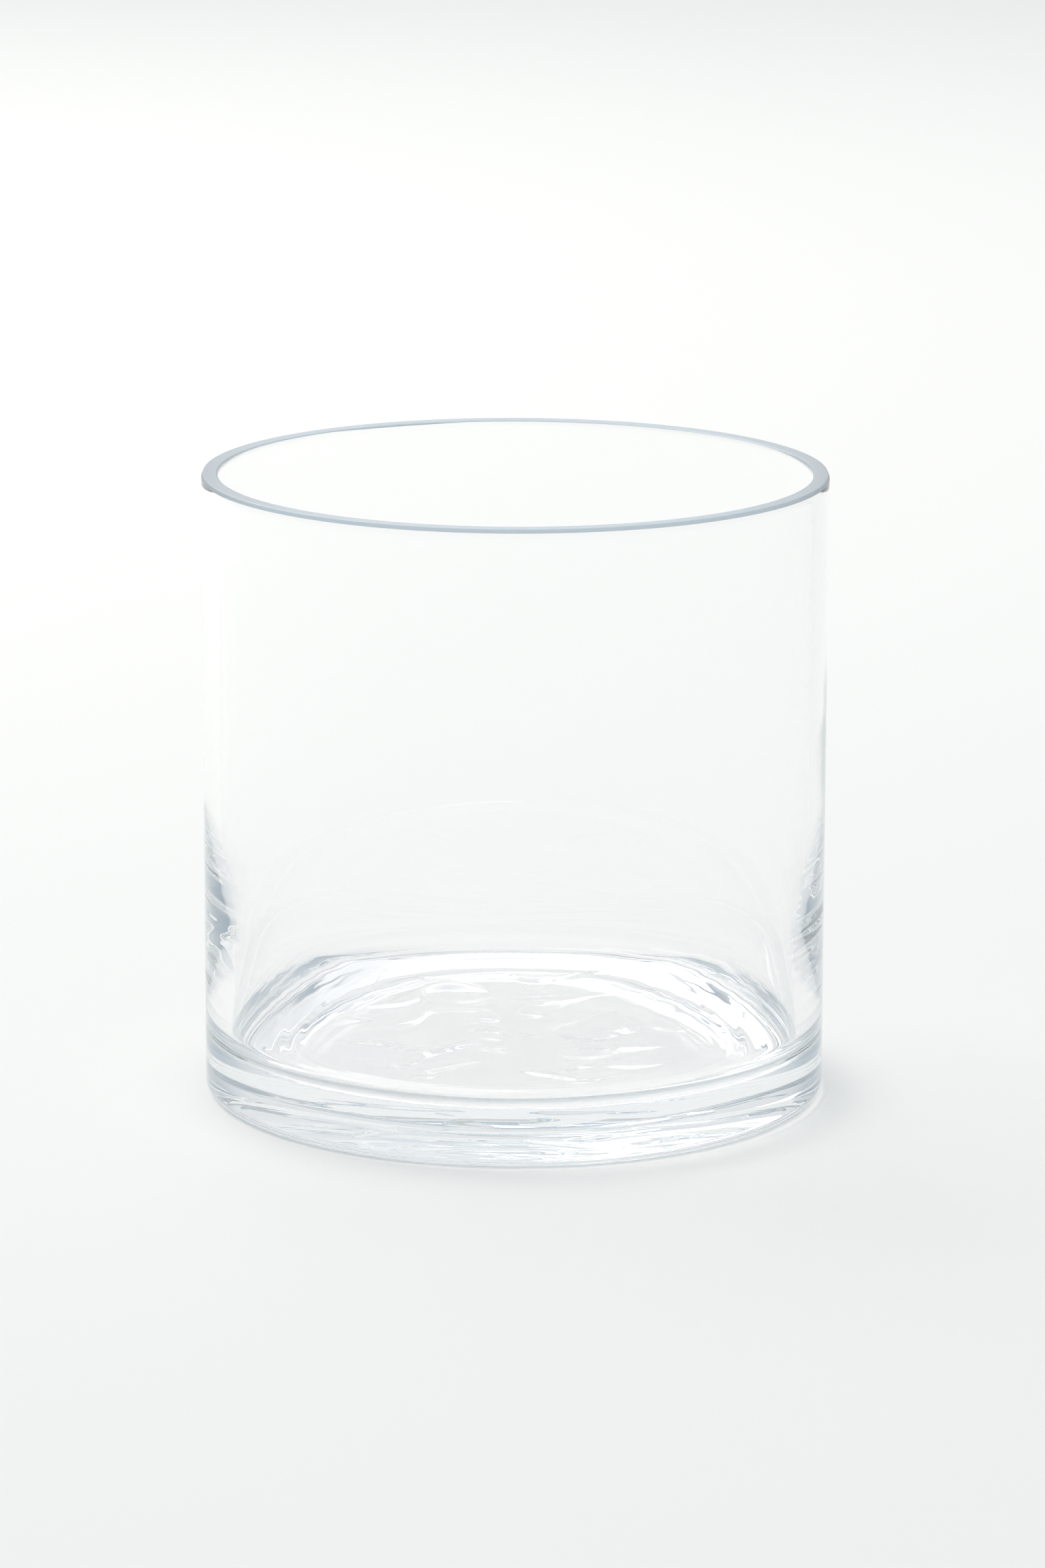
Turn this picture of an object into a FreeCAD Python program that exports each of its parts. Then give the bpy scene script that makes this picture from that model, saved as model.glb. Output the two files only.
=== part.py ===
import FreeCAD, Part
import os
import Sketcher

# A straight-sided cylinder vase, made in one piece from clear soda-lime glass.
# The three bodies are the three worked regions of that one piece. They meet face to face:
#   thick_base   the heavy foot: heel, standing ring, push-up, inner floor and cove
#   glass_wall   the plain tube between the foot and the mouth
#   ground_rim   the mouth, cut and ground flat, with a bevel outside and an arris inside
# The origin is the centre of the standing ring, on the table, and +Z runs up the axis.

drivingSizes = (
    ("outerDiameter", 198.0, "outside of the wall, foot to mouth"),
    ("fullHeight", 200.0, "table to ground rim"),
    ("wallThickness", 5.2, "wall, the same all the way up"),
    ("floorHeight", 16.0, "table to inner floor, so the foot is heavy"),
    ("coveRadius", 11.0, "round corner between inner floor and wall"),
    ("heelRadius", 4.0, "round corner between the outside and the standing ring"),
    ("ringWidth", 4.0, "flat width of the standing ring, inside the heel"),
    ("pushUpHeight", 4.5, "how far the underside is hollowed at its middle"),
    ("pushUpFlatRadius", 52.0, "radius of the level middle of the hollow"),
    ("footHeight", 42.0, "table to the joint between foot and wall"),
    ("rimHeight", 2.0, "depth of the ground mouth"),
    ("bevelHeight", 1.2, "outer bevel of the mouth, measured down the wall"),
    ("bevelWidth", 0.5, "outer bevel of the mouth, measured across the rim"),
    ("arrisSize", 0.4, "inner edge of the mouth, eased with a stone"),
)

doc = FreeCAD.newDocument("GlassCylinderVase")
sizes = doc.addObject("Spreadsheet::Sheet", "Sizes")
for row, (alias, value, meaning) in enumerate(drivingSizes, start=1):
    sizes.set(f"A{row}", meaning)
    sizes.set(f"B{row}", str(value))
    sizes.setAlias(f"B{row}", alias)
doc.recompute()


def newBody(label, baseHeight):
    # A body named for its region, standing at the height that the expression gives.
    body = doc.addObject("PartDesign::Body", label)
    body.Label = label
    body.setExpression("Placement.Base.z", baseHeight)
    return body


def newSketch(body, name, planeRole):
    # A sketch on one of the body's own origin planes.
    plane = next(part for part in body.Origin.OriginFeatures if part.Role == planeRole)
    sketch = body.newObject("Sketcher::SketchObject", name)
    sketch.AttachmentSupport = [(plane, "")]
    sketch.MapMode = "FlatFace"
    return sketch


def addDimension(sketch, name, expression, kind, *geometry):
    # A sketch dimension, named and bound to the sheet.
    index = sketch.addConstraint(Sketcher.Constraint(kind, *geometry))
    sketch.renameConstraint(index, name)
    sketch.setExpression(f"Constraints.{name}", expression)


def addCircle(sketch, name, expression, startRadius):
    # A circle about the vase's axis, with its diameter bound to the sheet.
    outline = Part.Circle(FreeCAD.Vector(0, 0, 0), FreeCAD.Vector(0, 0, 1), startRadius)
    circle = sketch.addGeometry(outline)
    sketch.addConstraint(Sketcher.Constraint("Coincident", circle, 3, -1, 1))
    addDimension(sketch, name, expression, "Diameter", circle, 2 * startRadius)


def addFeature(body, kind, name, sketch, lengthExpression):
    # A Pad or a Pocket of a sketch, with its length bound to the sheet.
    feature = body.newObject(f"PartDesign::{kind}", name)
    feature.Profile = sketch
    feature.setExpression("Length", lengthExpression)
    doc.recompute()
    return feature


def roundEdge(feature, radius, height):
    # The full circle of this radius at this height above the body's own plane.
    for number, edge in enumerate(feature.Shape.Edges, start=1):
        curve = edge.Curve
        if curve.TypeId != "Part::GeomCircle":
            continue
        if abs(curve.Radius - radius) < 0.01 and abs(curve.Center.z - height) < 0.01:
            return f"Edge{number}"
    raise ValueError(f"{feature.Name} has no round edge of radius {radius} at height {height}")


def addFillet(body, name, base, edge, radiusExpression):
    fillet = body.newObject("PartDesign::Fillet", name)
    fillet.Base = (base, [edge])
    fillet.setExpression("Radius", radiusExpression)
    doc.recompute()
    return fillet


def makeThickBase():
    # A solid disc, hollowed from above with a coved floor and from below with a push-up.
    body = newBody("thick_base", "0 mm")
    outerRadius = sizes.outerDiameter / 2
    innerRadius = outerRadius - sizes.wallThickness

    discSketch = newSketch(body, "FootOutline", "XY_Plane")
    addCircle(discSketch, "outside", "Sizes.outerDiameter", outerRadius)
    disc = addFeature(body, "Pad", "FootDisc", discSketch, "Sizes.footHeight")

    bowlSketch = newSketch(body, "BowlOutline", "XY_Plane")
    bowlSketch.setExpression("AttachmentOffset.Base.z", "Sizes.footHeight")
    addCircle(bowlSketch, "inside", "Sizes.outerDiameter - 2 * Sizes.wallThickness", innerRadius)
    bowl = addFeature(body, "Pocket", "Bowl", bowlSketch, "Sizes.footHeight - Sizes.floorHeight")

    coveEdge = roundEdge(bowl, innerRadius, sizes.floorHeight)
    cove = addFillet(body, "Cove", bowl, coveEdge, "Sizes.coveRadius")
    heelEdge = roundEdge(cove, outerRadius, 0)
    heel = addFillet(body, "Heel", cove, heelEdge, "Sizes.heelRadius")

    pushUp = body.newObject("PartDesign::Groove", "PushUp")
    hollowSketch = newSketch(body, "PushUpProfile", "XZ_Plane")
    addPushUpProfile(hollowSketch)
    pushUp.Profile = hollowSketch
    pushUp.ReferenceAxis = (hollowSketch, ["V_Axis"])
    pushUp.Angle = 360
    body.Tip = pushUp
    doc.recompute()

    for before, after in ((disc, bowl), (cove, heel), (heel, pushUp)):
        if after.Shape.Volume >= before.Shape.Volume:
            raise ValueError(f"{after.Name} removed no glass")
    return body


def addPushUpProfile(sketch):
    # Half of the hollow: out along the table, up over an arc, level to the axis, down the axis.
    halfWidth = sizes.outerDiameter / 2 - sizes.heelRadius - sizes.ringWidth
    flat = sizes.pushUpFlatRadius
    rise = sizes.pushUpHeight
    arcRadius = ((halfWidth - flat)**2 + rise**2) / (2 * rise)
    middle = FreeCAD.Vector(0, 0, 0)
    ringEdge = FreeCAD.Vector(halfWidth, 0, 0)
    shoulder = FreeCAD.Vector(flat, rise, 0)
    crown = FreeCAD.Vector(0, rise, 0)
    circle = Part.Circle(FreeCAD.Vector(flat, rise - arcRadius, 0), FreeCAD.Vector(0, 0, 1), arcRadius)
    table = sketch.addGeometry(Part.LineSegment(middle, ringEdge))
    bend = sketch.addGeometry(
        Part.ArcOfCircle(circle, circle.parameter(ringEdge), circle.parameter(shoulder))
    )
    ceiling = sketch.addGeometry(Part.LineSegment(shoulder, crown))
    axis = sketch.addGeometry(Part.LineSegment(crown, middle))
    sketch.addConstraint(Sketcher.Constraint("Coincident", table, 1, -1, 1))
    sketch.addConstraint(Sketcher.Constraint("Coincident", table, 2, bend, 1))
    sketch.addConstraint(Sketcher.Constraint("Tangent", bend, 2, ceiling, 1))
    sketch.addConstraint(Sketcher.Constraint("Coincident", ceiling, 2, axis, 1))
    sketch.addConstraint(Sketcher.Constraint("Coincident", axis, 2, -1, 1))
    sketch.addConstraint(Sketcher.Constraint("Horizontal", table))
    sketch.addConstraint(Sketcher.Constraint("Horizontal", ceiling))
    sketch.addConstraint(Sketcher.Constraint("Vertical", axis))
    ringExpression = "Sizes.outerDiameter / 2 - Sizes.heelRadius - Sizes.ringWidth"
    addDimension(sketch, "halfWidth", ringExpression, "Distance", table, halfWidth)
    addDimension(sketch, "flat", "Sizes.pushUpFlatRadius", "Distance", ceiling, flat)
    addDimension(sketch, "rise", "Sizes.pushUpHeight", "Distance", axis, rise)


def makeGlassWall():
    # The tube from the top of the foot to the underside of the ground mouth.
    body = newBody("glass_wall", "Sizes.footHeight")
    outerRadius = sizes.outerDiameter / 2
    wallSketch = newSketch(body, "WallOutline", "XY_Plane")
    addCircle(wallSketch, "outside", "Sizes.outerDiameter", outerRadius)
    insideExpression = "Sizes.outerDiameter - 2 * Sizes.wallThickness"
    addCircle(wallSketch, "inside", insideExpression, outerRadius - sizes.wallThickness)
    wallLength = "Sizes.fullHeight - Sizes.footHeight - Sizes.rimHeight"
    addFeature(body, "Pad", "Wall", wallSketch, wallLength)
    return body


def makeGroundRim():
    # A flat ground ring with a steep bevel outside and a fine arris inside.
    body = newBody("ground_rim", "Sizes.fullHeight - Sizes.rimHeight")
    outerRadius = sizes.outerDiameter / 2
    innerRadius = outerRadius - sizes.wallThickness
    rimSketch = newSketch(body, "RimOutline", "XY_Plane")
    addCircle(rimSketch, "outside", "Sizes.outerDiameter", outerRadius)
    insideExpression = "Sizes.outerDiameter - 2 * Sizes.wallThickness"
    addCircle(rimSketch, "inside", insideExpression, innerRadius)
    ring = addFeature(body, "Pad", "RimRing", rimSketch, "Sizes.rimHeight")

    bevel = body.newObject("PartDesign::Chamfer", "OuterBevel")
    bevel.Base = (ring, [roundEdge(ring, outerRadius, sizes.rimHeight)])
    bevel.ChamferType = "Two distances"
    bevel.setExpression("Size", "Sizes.bevelHeight")
    bevel.setExpression("Size2", "Sizes.bevelWidth")
    doc.recompute()

    arris = body.newObject("PartDesign::Chamfer", "InnerArris")
    arris.Base = (bevel, [roundEdge(bevel, innerRadius, sizes.rimHeight)])
    arris.setExpression("Size", "Sizes.arrisSize")
    doc.recompute()

    roundEdge(arris, outerRadius, sizes.rimHeight - sizes.bevelHeight)
    roundEdge(arris, outerRadius - sizes.bevelWidth, sizes.rimHeight)
    return body


regions = [makeThickBase(), makeGlassWall(), makeGroundRim()]
doc.recompute()

for item in doc.Objects:
    if "Invalid" in item.State or "Error" in item.State:
        raise ValueError(f"{item.Label} did not compute: {item.State}")
for region in regions:
    if region.Shape.isNull() or not region.Shape.isValid():
        raise ValueError(f"{region.Label} has no valid solid")

os.makedirs("parts", exist_ok=True)
for region in regions:
    region.Shape.exportStep(f"parts/{region.Label}.step")
    box = region.Shape.BoundBox
    volume = region.Shape.Volume / 1000
    print(f"{region.Label}: {volume:.1f} cm3, z {box.ZMin:.2f} to {box.ZMax:.2f} mm")
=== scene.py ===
import math
import bpy
from mathutils import Euler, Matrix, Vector, noise


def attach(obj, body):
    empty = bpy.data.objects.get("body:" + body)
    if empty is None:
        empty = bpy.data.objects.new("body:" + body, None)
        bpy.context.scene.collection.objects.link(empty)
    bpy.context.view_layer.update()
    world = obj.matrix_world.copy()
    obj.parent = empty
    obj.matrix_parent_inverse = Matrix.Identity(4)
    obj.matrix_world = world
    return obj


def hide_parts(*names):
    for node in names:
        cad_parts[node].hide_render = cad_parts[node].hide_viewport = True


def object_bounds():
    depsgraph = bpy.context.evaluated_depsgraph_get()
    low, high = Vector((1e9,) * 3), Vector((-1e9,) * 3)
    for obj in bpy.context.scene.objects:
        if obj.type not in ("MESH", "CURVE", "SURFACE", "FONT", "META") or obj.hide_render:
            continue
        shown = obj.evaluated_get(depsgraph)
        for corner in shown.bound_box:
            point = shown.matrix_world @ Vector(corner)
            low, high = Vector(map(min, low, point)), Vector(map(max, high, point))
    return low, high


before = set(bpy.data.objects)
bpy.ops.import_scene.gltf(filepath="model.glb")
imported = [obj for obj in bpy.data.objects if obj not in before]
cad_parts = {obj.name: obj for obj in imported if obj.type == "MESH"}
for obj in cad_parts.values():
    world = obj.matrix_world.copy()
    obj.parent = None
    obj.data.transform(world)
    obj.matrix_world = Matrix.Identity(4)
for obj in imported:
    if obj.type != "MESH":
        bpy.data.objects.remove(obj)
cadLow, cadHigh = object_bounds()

mm = 0.001
print("frame loaded, vase", [round((high - low) / mm) for low, high in zip(cadLow, cadHigh)], "mm")


def hexColor(code):
    # sRGB hex to the linear colour that shaders take
    channels = [int(code[place:place + 2], 16) / 255 for place in (1, 3, 5)]
    linear = [c / 12.92 if c <= 0.04045 else ((c + 0.055) / 1.055) ** 2.4 for c in channels]
    return (*linear, 1.0)


def addNode(tree, kind, settings=None, **inputs):
    # one node, its own settings, and its inputs as values or as links from other nodes' outputs
    made = tree.nodes.new(kind)
    for name, value in (settings or {}).items():
        setattr(made, name, value)
    for name, value in inputs.items():
        socket = made.inputs[int(name[1:])] if name[1:].isdigit() else made.inputs[name.replace("_", " ")]
        if isinstance(value, bpy.types.NodeSocket):
            tree.links.new(value, socket)
        else:
            socket.default_value = value
    return made


def newMaterial(name):
    # an empty material, and the tree that its nodes go in
    material = bpy.data.materials.new(name)
    material.use_nodes = True
    material.node_tree.nodes.clear()
    return material, material.node_tree


def smoothStep(low, high, value):
    # 0 below low, 1 above high, eased in between; the other way round when low is the larger
    share = min(max((value - low) / (high - low), 0.0), 1.0)
    return share * share * (3 - 2 * share)


def makeClearGlass():
    # clear soda-lime glass, blown into a mould and fire-smooth:
    # bright and colourless, with a faint cool tint where it is thick
    material, tree = newMaterial("clearSodaLimeGlassMouldBlown")
    shader = addNode(
        tree, "ShaderNodeBsdfPrincipled",
        Base_Color=hexColor("#FFFFFF"), Roughness=0.0, IOR=1.52, Transmission_Weight=1.0,
    )
    depth = addNode(tree, "ShaderNodeVolumeAbsorption", Color=hexColor("#DCE8EE"), Density=1.2)
    addNode(tree, "ShaderNodeOutputMaterial", Surface=shader.outputs[0], Volume=depth.outputs[0])
    return material


def makeGroundGlass():
    # soda-lime glass cut and ground flat on a wheel: satin, so it shows as a soft blue-grey line
    # the grit is drawn about 1 mm across, much coarser than the real one, so that it doesn't vanish
    material, tree = newMaterial("groundSodaLimeGlassSatin")
    place = addNode(tree, "ShaderNodeTexCoord")
    grit = addNode(tree, "ShaderNodeTexNoise", Vector=place.outputs["Object"], Scale=900.0, Detail=3.0)
    bump = addNode(tree, "ShaderNodeBump", Strength=0.15, Distance=0.0002, Height=grit.outputs["Fac"])
    shader = addNode(
        tree, "ShaderNodeBsdfPrincipled",
        Base_Color=hexColor("#E9F0F5"), Roughness=0.35, IOR=1.52, Transmission_Weight=0.6,
        Normal=bump.outputs[0],
    )
    depth = addNode(tree, "ShaderNodeVolumeAbsorption", Color=hexColor("#DCE8EE"), Density=1.2)
    addNode(tree, "ShaderNodeOutputMaterial", Surface=shader.outputs[0], Volume=depth.outputs[0])
    return material


def makePaper():
    # white background paper, uncoated: matt, so it takes soft shade and no reflections
    material, tree = newMaterial("whiteBackgroundPaper")
    shader = addNode(tree, "ShaderNodeBsdfPrincipled", Base_Color=hexColor("#E5E5E3"), Roughness=0.9)
    addNode(tree, "ShaderNodeOutputMaterial", Surface=shader.outputs[0])
    return material


glass = {  # millimetres; the outer size comes from the frame
    "segments": 640,
    "wall": 5.2,  # above the flare
    "flareWidth": 3.2,  # how much the wall gains on its way down to the base
    "flareTop": 95.0,  # height at which the gain starts
    "floorHeight": 15.8,
    "dish": 0.4,  # rise of the floor towards the cove
    "dishStart": 52.0,
    "coveRadius": 9.5,
    "heelRadius": 4.0,
    "ringWidth": 4.0,  # flat standing ring
    "pushUp": 4.5,  # hollow of the underside
    "pushUpFlat": 52.0,  # radius of its level middle
    "bevelHeight": 1.2,
    "bevelWidth": 0.5,
    "arris": 0.4,
    "step": 1.2,  # spacing of the outline's points
    "ridgeHeight": 0.08,  # rings in the floor where the glass chilled against the mould
    "ridgeSpacing": 6.0,
    "ridgeFrom": 66.0,
    "ridgeTo": 82.0,
    "wallWave": 0.22,  # slow unevenness of the inside
    "chillWave": 0.003,  # fine waves up the lower wall, about 5 mm apart
    "chillPitch": 0.8,  # their spacing divided by 2 pi
    "floorWave": 0.10,  # slow unevenness of the inner floor
    "swirl": 0.9,  # streaks of stirred glass in the floor, about 20 by 12 mm
    "grit": 0.05,  # unevenness of the standing ring
}


def straight(start, end, step, region):
    # points along a straight stretch of the outline, without its last one
    count = max(1, round(math.dist(start, end) / step))
    return [
        (start[0] + (end[0] - start[0]) * i / count, start[1] + (end[1] - start[1]) * i / count, region)
        for i in range(count)
    ]


def arc(centre, radius, startDegrees, endDegrees, count, region):
    # points round an arc of the outline, without its last one
    made = []
    for i in range(count):
        turn = math.radians(startDegrees + (endDegrees - startDegrees) * i / count)
        made.append((centre[0] + radius * math.cos(turn), centre[1] + radius * math.sin(turn), region))
    return made


def underHeight(g, ringIn, r):
    # the hollow underside: level in the middle, then curving down to the standing ring
    share = max((r - g["pushUpFlat"]) / (ringIn - g["pushUpFlat"]), 0.0)
    return g["pushUp"] * (1 - share ** 2)


def floorLevel(g, coveIn, r):
    # the inner floor: level in the middle, then dished up towards the cove
    share = max((r - g["dishStart"]) / (coveIn - g["dishStart"]), 0.0)
    return g["floorHeight"] + g["dish"] * share ** 2


def outline(g, outer, height):
    # half the vase's section: from the middle of the underside, out, up, over the mouth and down inside
    inner = outer - g["wall"]
    heel, cove, floor, flare = g["heelRadius"], g["coveRadius"], g["floorHeight"], g["flareWidth"]
    ringIn = outer - heel - g["ringWidth"]
    coveIn = inner - flare - cove
    bevelTop = (outer - g["bevelWidth"], height)
    arrisTop = (inner + g["arris"], height)
    dishTop = floor + g["dish"]
    drop = g["flareTop"] - dishTop - cove
    lean = 2 * math.degrees(math.atan(flare / drop))
    bend = drop / 2 / math.sin(math.radians(lean))
    count = round(ringIn / g["step"])
    points = [
        (ringIn * i / count, underHeight(g, ringIn, ringIn * i / count), "underside")
        for i in range(count)
    ]
    points += straight((ringIn, 0), (outer - heel, 0), g["step"] / 2, "ring")
    points += arc((outer - heel, heel), heel, -90, 0, 16, "heel")
    points += straight((outer, heel), (outer, height - g["bevelHeight"]), g["step"] * 2, "outside")
    points += straight((outer, height - g["bevelHeight"]), bevelTop, 0.3, "bevel")
    points += straight(bevelTop, arrisTop, 0.5, "rim")
    points += straight(arrisTop, (inner, height - g["arris"]), 0.2, "arris")
    points += straight((inner, height - g["arris"]), (inner, g["flareTop"]), g["step"], "inside")
    points += arc((inner - bend, g["flareTop"]), bend, 0, -lean, 30, "inside")
    points += arc((coveIn + cove + bend, dishTop + cove), bend, 180 - lean, 180, 30, "inside")
    points += arc((coveIn, dishTop + cove), cove, 0, -90, 24, "cove")
    points += [
        (r, floorLevel(g, coveIn, r), region)
        for r, z, region in straight((coveIn, dishTop), (0, floor), g["step"] / 1.6, "floor")
    ]
    points.append((0, floor, "floor"))
    return points


def streaks(x, y):
    # stirred glass in the middle of the floor: sharp-edged, drawn-out ripples between level patches
    slow = noise.noise(Vector((x / 34, y / 28, 3.0)))
    drawn = noise.noise(Vector((x / 20 + slow * 1.2, y / 12 + slow * 2.0, 9.0)))
    return max(drawn - 0.22, 0.0)


def relief(g, region, r, z, turn):
    # how far the surface stands out of its true place here, in millimetres
    x, y = math.cos(turn), math.sin(turn)
    if region in ("inside", "cove"):
        wave = g["wallWave"] * noise.noise(Vector((x * 1.3, y * 1.3, z / 60)))
        wander = 3 * noise.noise(Vector((x * 2, y * 2, z / 25)))
        chilled = smoothStep(120, 70, z) * smoothStep(24, 32, z)
        return wave + g["chillWave"] * chilled * math.sin(z / g["chillPitch"] + wander)
    if region == "floor":
        px, py = r * x, r * y
        soft = g["floorWave"] * noise.noise(Vector((px / 26, py / 26, 3.0)))
        inRidges = smoothStep(g["ridgeFrom"], g["ridgeFrom"] + 4, r)
        inRidges *= smoothStep(g["ridgeTo"], g["ridgeTo"] - 4, r)
        wander = 1.2 * noise.noise(Vector((x * 1.5, y * 1.5, 5.0)))
        ridges = g["ridgeHeight"] * inRidges * math.sin(2 * math.pi * r / g["ridgeSpacing"] + wander)
        return soft + ridges + g["swirl"] * streaks(px, py) * smoothStep(66, 50, r)
    if region in ("underside", "ring"):
        px, py = r * x, r * y
        fine = noise.noise(Vector((px / 2.2, py / 2.2, 20.0)))
        broad = noise.noise(Vector((px / 9, py / 9, 30.0)))
        return g["grit"] * (0.5 * fine + 0.5 * broad) * smoothStep(88.5, 91.5, r)
    return 0.0


def makeGlass(g):
    # the outline turned about the upright axis into one closed skin, its rim faces in the second material
    outer, height = cadHigh.x / mm, cadHigh.z / mm
    points = outline(g, outer, height)
    count, segments = len(points), g["segments"]
    vertices, faces, slots = [], [], []
    for index, (r, z, region) in enumerate(points):
        before = points[max(index - 1, 0)]
        after = points[min(index + 1, count - 1)]
        along = Vector((after[0] - before[0], after[1] - before[1])).normalized()
        outward = Vector((along.y, -along.x))
        if r == 0:
            lift = outward.y * relief(g, region, 0, z, 0)
            vertices.append((0, 0, (z + lift) * mm))
            continue
        for k in range(segments):
            turn = 2 * math.pi * k / segments
            lift = relief(g, region, r, z, turn)
            wide = (r + outward.x * lift) * mm
            vertices.append((wide * math.cos(turn), wide * math.sin(turn), (z + outward.y * lift) * mm))
    rim = {"bevel", "rim", "arris"}
    starts = [0] + [1 + segments * i for i in range(count - 1)]
    for row in range(count - 1):
        low, high = starts[row], starts[row + 1]
        for k in range(segments):
            nextK = (k + 1) % segments
            if row == 0:
                faces.append((low, high + nextK, high + k))
            elif row == count - 2:
                faces.append((low + k, low + nextK, high))
            else:
                faces.append((low + k, low + nextK, high + nextK, high + k))
            slots.append(1 if points[row][2] in rim else 0)
    mesh = bpy.data.meshes.new("vase_glass")
    mesh.from_pydata(vertices, [], faces)
    mesh.polygons.foreach_set("material_index", slots)
    mesh.polygons.foreach_set("use_smooth", [True] * len(faces))
    mesh.update()
    piece = bpy.data.objects.new("vase_glass", mesh)
    bpy.context.collection.objects.link(piece)
    return piece


clearGlass = makeClearGlass()
groundGlass = makeGroundGlass()
vase = makeGlass(glass)
vase.data.materials.append(clearGlass)
vase.data.materials.append(groundGlass)
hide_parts("thick_base", "glass_wall", "ground_rim")
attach(vase, "root")
print("glass made,", len(vase.data.vertices), "points")


studio = {  # metres
    "floorRadius": 5.0,
    "sweepRadius": 0.7,
    "wallHeight": 0.8,
    "gap": 0.0001,  # paper below the standing ring, so that the glass isn't fused to it
    "roomColor": "#F3F5F7",
    "sideColor": "#9DB2C1",
    "sideStart": 0.62,
    "sideEnd": 0.97,
    "frontStrength": 0.68,
    "backStrength": 0.9,
    "backSpread": 0.7,
    "overheadStrength": 1.22,
    "overheadStart": 0.4,
    "overheadEnd": 0.85,
    "softboxes": [  # name, place, target, size, watts, colour
        ("backSoftbox", (-1.3, 1.7, 2.0), (-0.4, 0.6, 0), (3.0, 2.0), 34, "#FFFBF5"),
        ("overheadSoftbox", (-0.5, -0.2, 2.6), (0, 0.2, 0), (2.4, 2.4), 3, "#FFFFFF"),
    ],
}


def makeSweep(s):
    # a round floor that curves up into a wall all the way round
    rows = [0.0, 0.5, 1.5, 3.0, s["floorRadius"]]
    profile = [(r, 0.0) for r in rows]
    for i in range(1, 13):
        turn = math.radians(90 * i / 12)
        profile.append((
            s["floorRadius"] + s["sweepRadius"] * math.sin(turn),
            s["sweepRadius"] * (1 - math.cos(turn)),
        ))
    profile.append((s["floorRadius"] + s["sweepRadius"], s["wallHeight"]))
    segments = 96
    vertices = [(0, 0, 0)]
    faces = []
    for r, z in profile[1:]:
        for k in range(segments):
            turn = 2 * math.pi * k / segments
            vertices.append((r * math.cos(turn), r * math.sin(turn), z))
    for k in range(segments):
        nextK = (k + 1) % segments
        faces.append((0, 1 + k, 1 + nextK))
        for row in range(len(profile) - 2):
            low, high = 1 + segments * row, 1 + segments * (row + 1)
            faces.append((low + k, high + k, high + nextK, low + nextK))
    mesh = bpy.data.meshes.new("paper_sweep")
    mesh.from_pydata(vertices, [], faces)
    mesh.polygons.foreach_set("use_smooth", [True] * len(faces))
    mesh.materials.append(makePaper())
    sweep = bpy.data.objects.new("paper_sweep", mesh)
    sweep.location.z = -s["gap"]
    bpy.context.collection.objects.link(sweep)


def addSoftbox(name, place, target, size, power, color):
    # an oblong lamp that faces its target and isn't seen itself
    light = bpy.data.lights.new(name, "AREA")
    light.shape = "RECTANGLE"
    light.size, light.size_y = size
    light.energy = power
    light.color = hexColor(color)[:3]
    lamp = bpy.data.objects.new(name, light)
    lamp.location = place
    lamp.rotation_euler = (Vector(target) - Vector(place)).to_track_quat("-Z", "Y").to_euler()
    lamp.visible_camera = False
    bpy.context.collection.objects.link(lamp)


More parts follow.
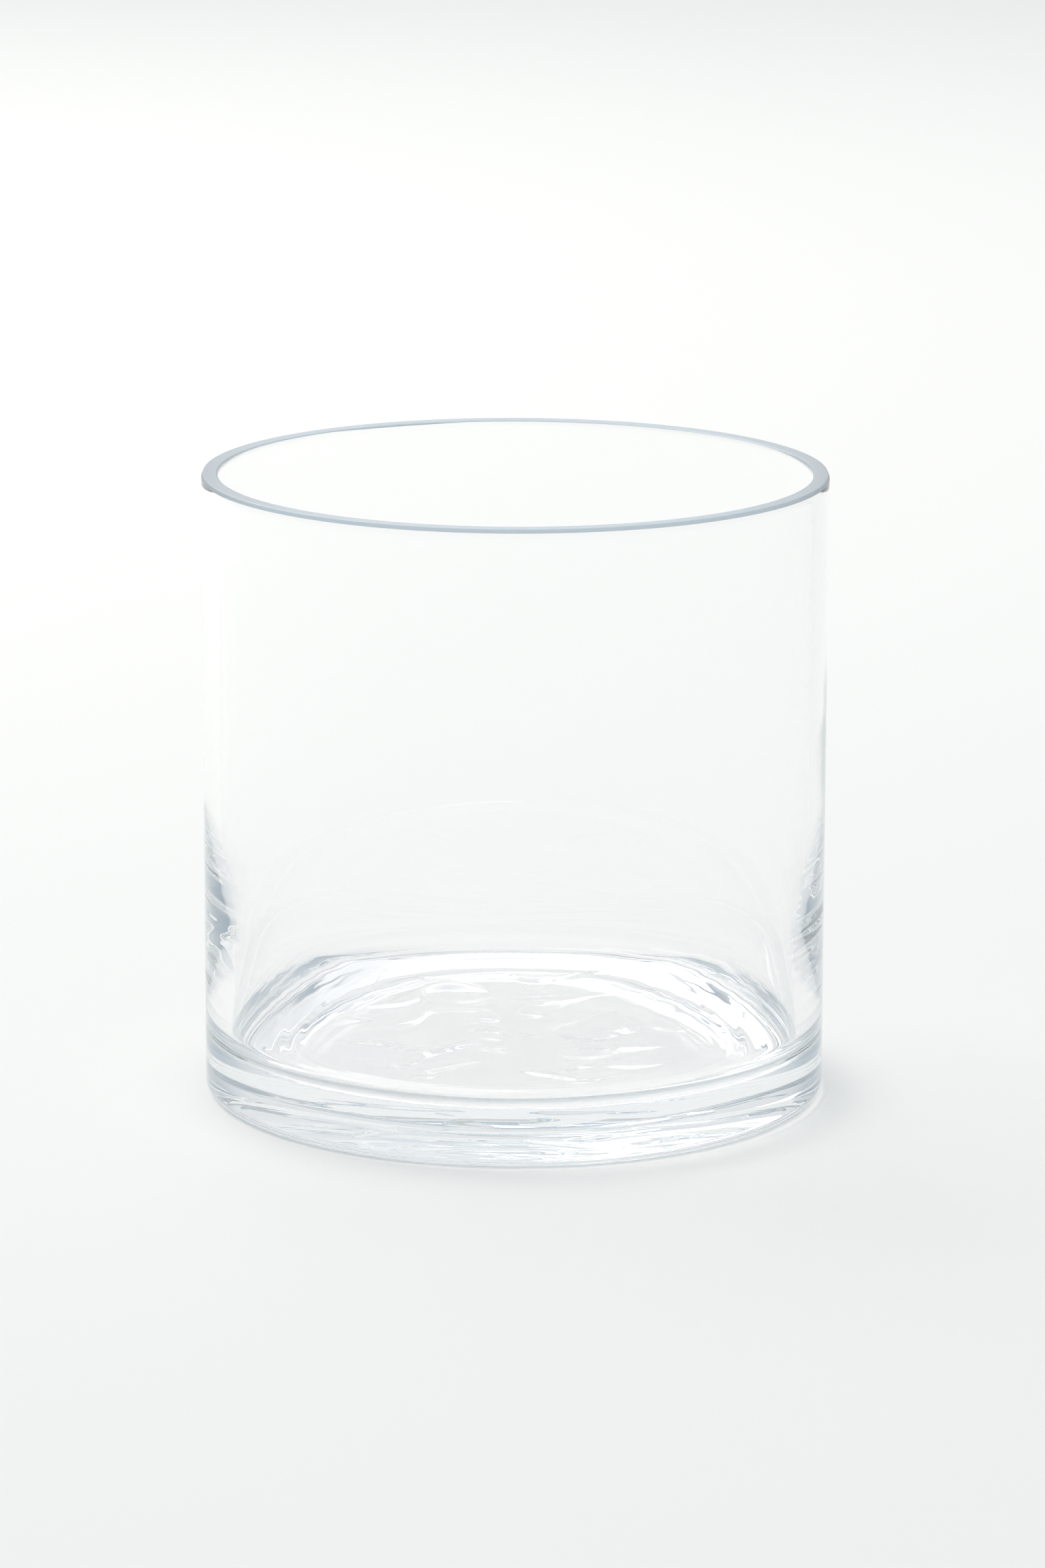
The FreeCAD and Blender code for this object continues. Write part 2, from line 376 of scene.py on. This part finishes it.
def makeRoom(s):
    # a pale room: brightest overhead, paler behind the table than in front, darker to its left and right
    world = bpy.data.worlds.new("studioRoom")
    world.use_nodes = True
    tree = world.node_tree
    tree.nodes.clear()
    place = addNode(tree, "ShaderNodeTexCoord")
    parts = addNode(tree, "ShaderNodeSeparateXYZ", _0=place.outputs["Generated"])
    sideways = addNode(tree, "ShaderNodeMath", {"operation": "ABSOLUTE"}, _0=parts.outputs["X"])
    smooth = {"interpolation_type": "SMOOTHSTEP"}
    sideShare = addNode(
        tree, "ShaderNodeMapRange", smooth,
        Value=sideways.outputs[0], From_Min=s["sideStart"], From_Max=s["sideEnd"],
    )
    level = addNode(
        tree, "ShaderNodeMapRange", smooth,
        Value=parts.outputs["Y"], From_Min=-s["backSpread"], From_Max=s["backSpread"],
        To_Min=s["frontStrength"], To_Max=s["backStrength"],
    )
    strength = addNode(
        tree, "ShaderNodeMapRange", smooth,
        Value=parts.outputs["Z"], From_Min=s["overheadStart"], From_Max=s["overheadEnd"],
        To_Min=level.outputs[0], To_Max=s["overheadStrength"],
    )
    color = addNode(
        tree, "ShaderNodeMix", {"data_type": "RGBA"},
        Factor=sideShare.outputs[0], _6=hexColor(s["roomColor"]), _7=hexColor(s["sideColor"]),
    )
    glow = addNode(tree, "ShaderNodeBackground", Color=color.outputs[2], Strength=strength.outputs[0])
    addNode(tree, "ShaderNodeOutputWorld", Surface=glow.outputs[0])
    bpy.context.scene.world = world


makeSweep(studio)
makeRoom(studio)
for softbox in studio["softboxes"]:
    addSoftbox(*softbox)
print("studio lit")


cameraSetup = {
    "distance": 2.0325,  # metres, level, from the vase's axis
    "height": 0.5673,
    "tiltDown": 12.98,  # degrees
    "pan": -0.071,
    "roll": 0.175,
    "lens": 150.3,  # millimetres, on a 36 mm long side
}


def makeCamera(c):
    # in front of the vase, looking down a little, and turned slightly about its own line of sight
    data = bpy.data.cameras.new("camera")
    data.lens = c["lens"]
    data.sensor_width = 36.0
    data.clip_end = 100
    camera = bpy.data.objects.new("camera", data)
    camera.location = (0, -c["distance"], c["height"])
    aim = Euler((math.radians(90 - c["tiltDown"]), 0, math.radians(c["pan"]))).to_matrix()
    spin = Euler((0, 0, math.radians(c["roll"]))).to_matrix()
    camera.rotation_euler = (aim @ spin).to_euler()
    bpy.context.collection.objects.link(camera)
    bpy.context.scene.camera = camera


makeCamera(cameraSetup)
scene = bpy.context.scene
scene.view_settings.view_transform = "Standard"
# light caught in the foot is reflected many times, and stopping it early leaves black patches
bounces = 80
scene.cycles.max_bounces = bounces
scene.cycles.transmission_bounces = bounces
scene.cycles.glossy_bounces = bounces
scene.cycles.diffuse_bounces = 12
scene.cycles.blur_glossy = 0.0  # unblurred, so that the light goes through the glass to the paper under it
print("camera set")
